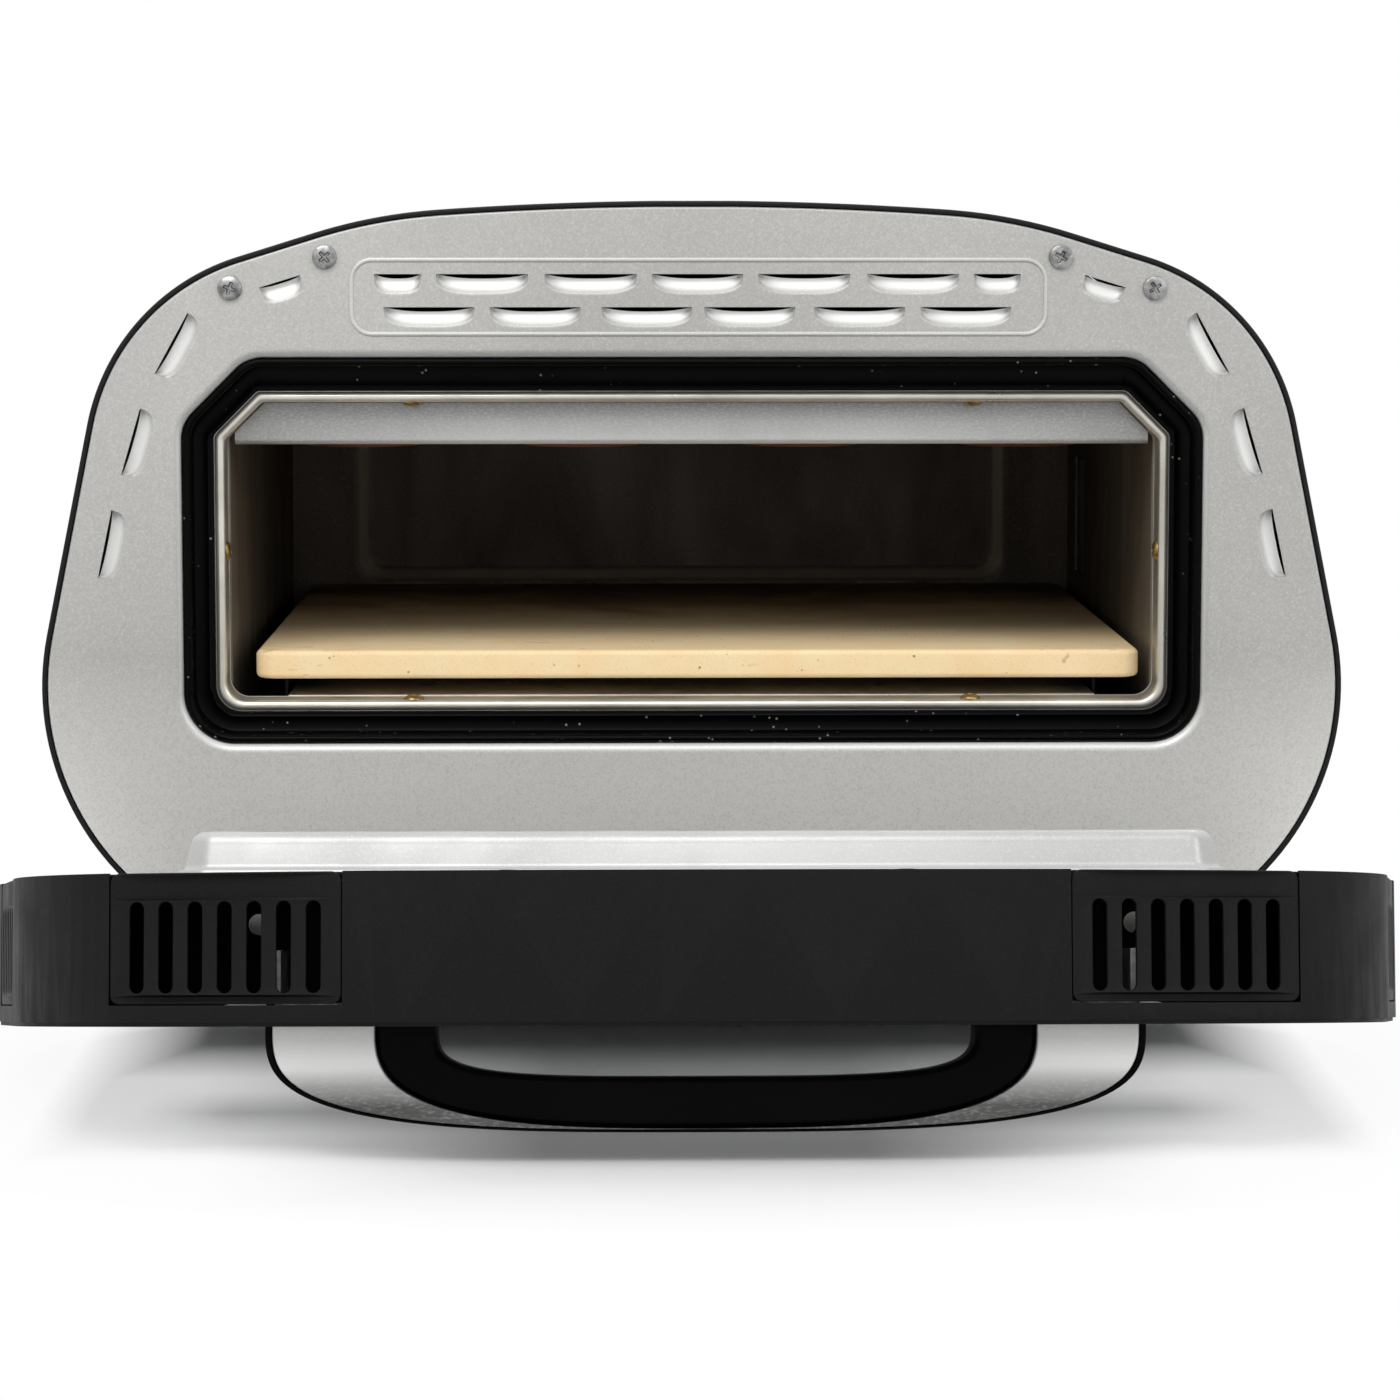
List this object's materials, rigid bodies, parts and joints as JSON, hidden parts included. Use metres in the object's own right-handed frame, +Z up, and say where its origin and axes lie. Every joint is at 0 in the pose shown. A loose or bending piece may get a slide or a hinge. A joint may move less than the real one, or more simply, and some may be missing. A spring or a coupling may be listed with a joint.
{
  "type": "electric pizza maker",
  "caption": "Countertop electric pizza oven: arched body, wide low cavity with a baking stone, fold-down vented door with a bowed handle, side dials.",
  "frame": {"origin": "bottom centre of the box around the oven with its door open", "axes": "+Z up, +Y from the door to the back of the body, +X to the right seen from the front"},
  "size_m": [0.4727, 0.6495, 0.2904],
  "materials": {
    "black_plastic": "fine matt grain",
    "brass_screw": "worn plating",
    "copper_probe": "copper",
    "cream_ceramic": "matt",
    "face_silver": "silver baked coating with a fine sparkle",
    "foot_rubber": "matt",
    "frame_steel": "satin",
    "glass_clear": "clear",
    "glass_dark": "tinted",
    "grip_black": "glossy",
    "handle_silver": "brushed",
    "heater_sheath": "oxidised tube",
    "lens_red": "clear red",
    "liner_steel": "aluminised steel, heat darkened",
    "magnet_grey": "plain",
    "pan_black": "matt black powder coat",
    "screw_steel": "zinc plated",
    "seal_black": "glossy black silicone",
    "shell_black": "matt black powder coat",
    "stone_cordierite": "matt fired cordierite",
    "wool": "mineral wool"
  },
  "bodies": {
    "body": {"outer_shell": "shell_black", "base_pan": "pan_black", "rear_panel": "pan_black", "rear_screws": "screw_steel", "face_plate": "face_silver", "face_screws": "screw_steel", "feet": "foot_rubber", "foot_screws": "screw_steel", "power_inlet": "black_plastic", "terminal_block": "cream_ceramic", "mouth_frame": "frame_steel", "mouth_seal": "seal_black", "frame_screws": "brass_screw", "cavity_liner": "liner_steel", "cavity_back": "liner_steel", "baffle": "face_silver", "pizza_stone": "stone_cordierite", "floor_shield": "frame_steel", "stone_rails": "frame_steel", "upper_heaters": "heater_sheath", "lower_heater": "heater_sheath", "heater_clips": "frame_steel", "heater_terminals": "cream_ceramic", "thermostat_probe": "copper_probe", "lamp": "glass_clear", "lamp_window": "glass_clear", "lamp_housing": "frame_steel", "insulation": "wool", "thermal_cutout": "cream_ceramic", "control_panel": "black_plastic", "thermostat_body": "cream_ceramic", "timer_body": "black_plastic", "switch_body": "black_plastic", "indicator_lens": "lens_red", "hinge_brackets": "screw_steel", "hinge_pins": "screw_steel", "magnet": "magnet_grey"},
    "door": {"door_casing": "black_plastic", "door_inner_panel": "face_silver", "door_screws": "screw_steel", "inner_glass": "glass_clear", "glass_retainers": "frame_steel", "door_outer_panel": "face_silver", "outer_glass": "glass_dark", "grille_inserts": "black_plastic", "end_grilles": "black_plastic", "hinge_arms": "screw_steel", "handle_grip": "grip_black", "handle_trim": "handle_silver", "handle_edge": "black_plastic", "handle_brackets": "screw_steel", "handle_screws": "screw_steel", "striker": "screw_steel"},
    "temperature_control": {"temperature_shaft": "screw_steel", "temperature_dial": "black_plastic"},
    "timer_control": {"timer_shaft": "screw_steel", "timer_dial": "black_plastic"},
    "lamp_switch": {"lamp_button": "black_plastic"}
  },
  "joints": [
    {"name": "door_hinge", "type": "hinge", "parent": "body", "child": "door", "pos_m": [0, -0.065, 0.036], "axis": [-1, 0, 0], "range_deg": [0, 80]},
    {"name": "temperature_turn", "type": "hinge", "parent": "body", "child": "temperature_control", "pos_m": [0.2213, 0.112, 0.1747], "axis": [-0.9796, 0, -0.2011], "range_deg": [0, 270]},
    {"name": "timer_turn", "type": "hinge", "parent": "body", "child": "timer_control", "pos_m": [0.2213, 0.18, 0.1747], "axis": [-0.9796, 0, -0.2011], "range_deg": [0, 300]},
    {"name": "lamp_press", "type": "slide", "parent": "body", "child": "lamp_switch", "axis": [-0.9796, 0, -0.2011], "range_m": [0, 0.0025], "stiffness_N_per_m": 500}
  ]
}
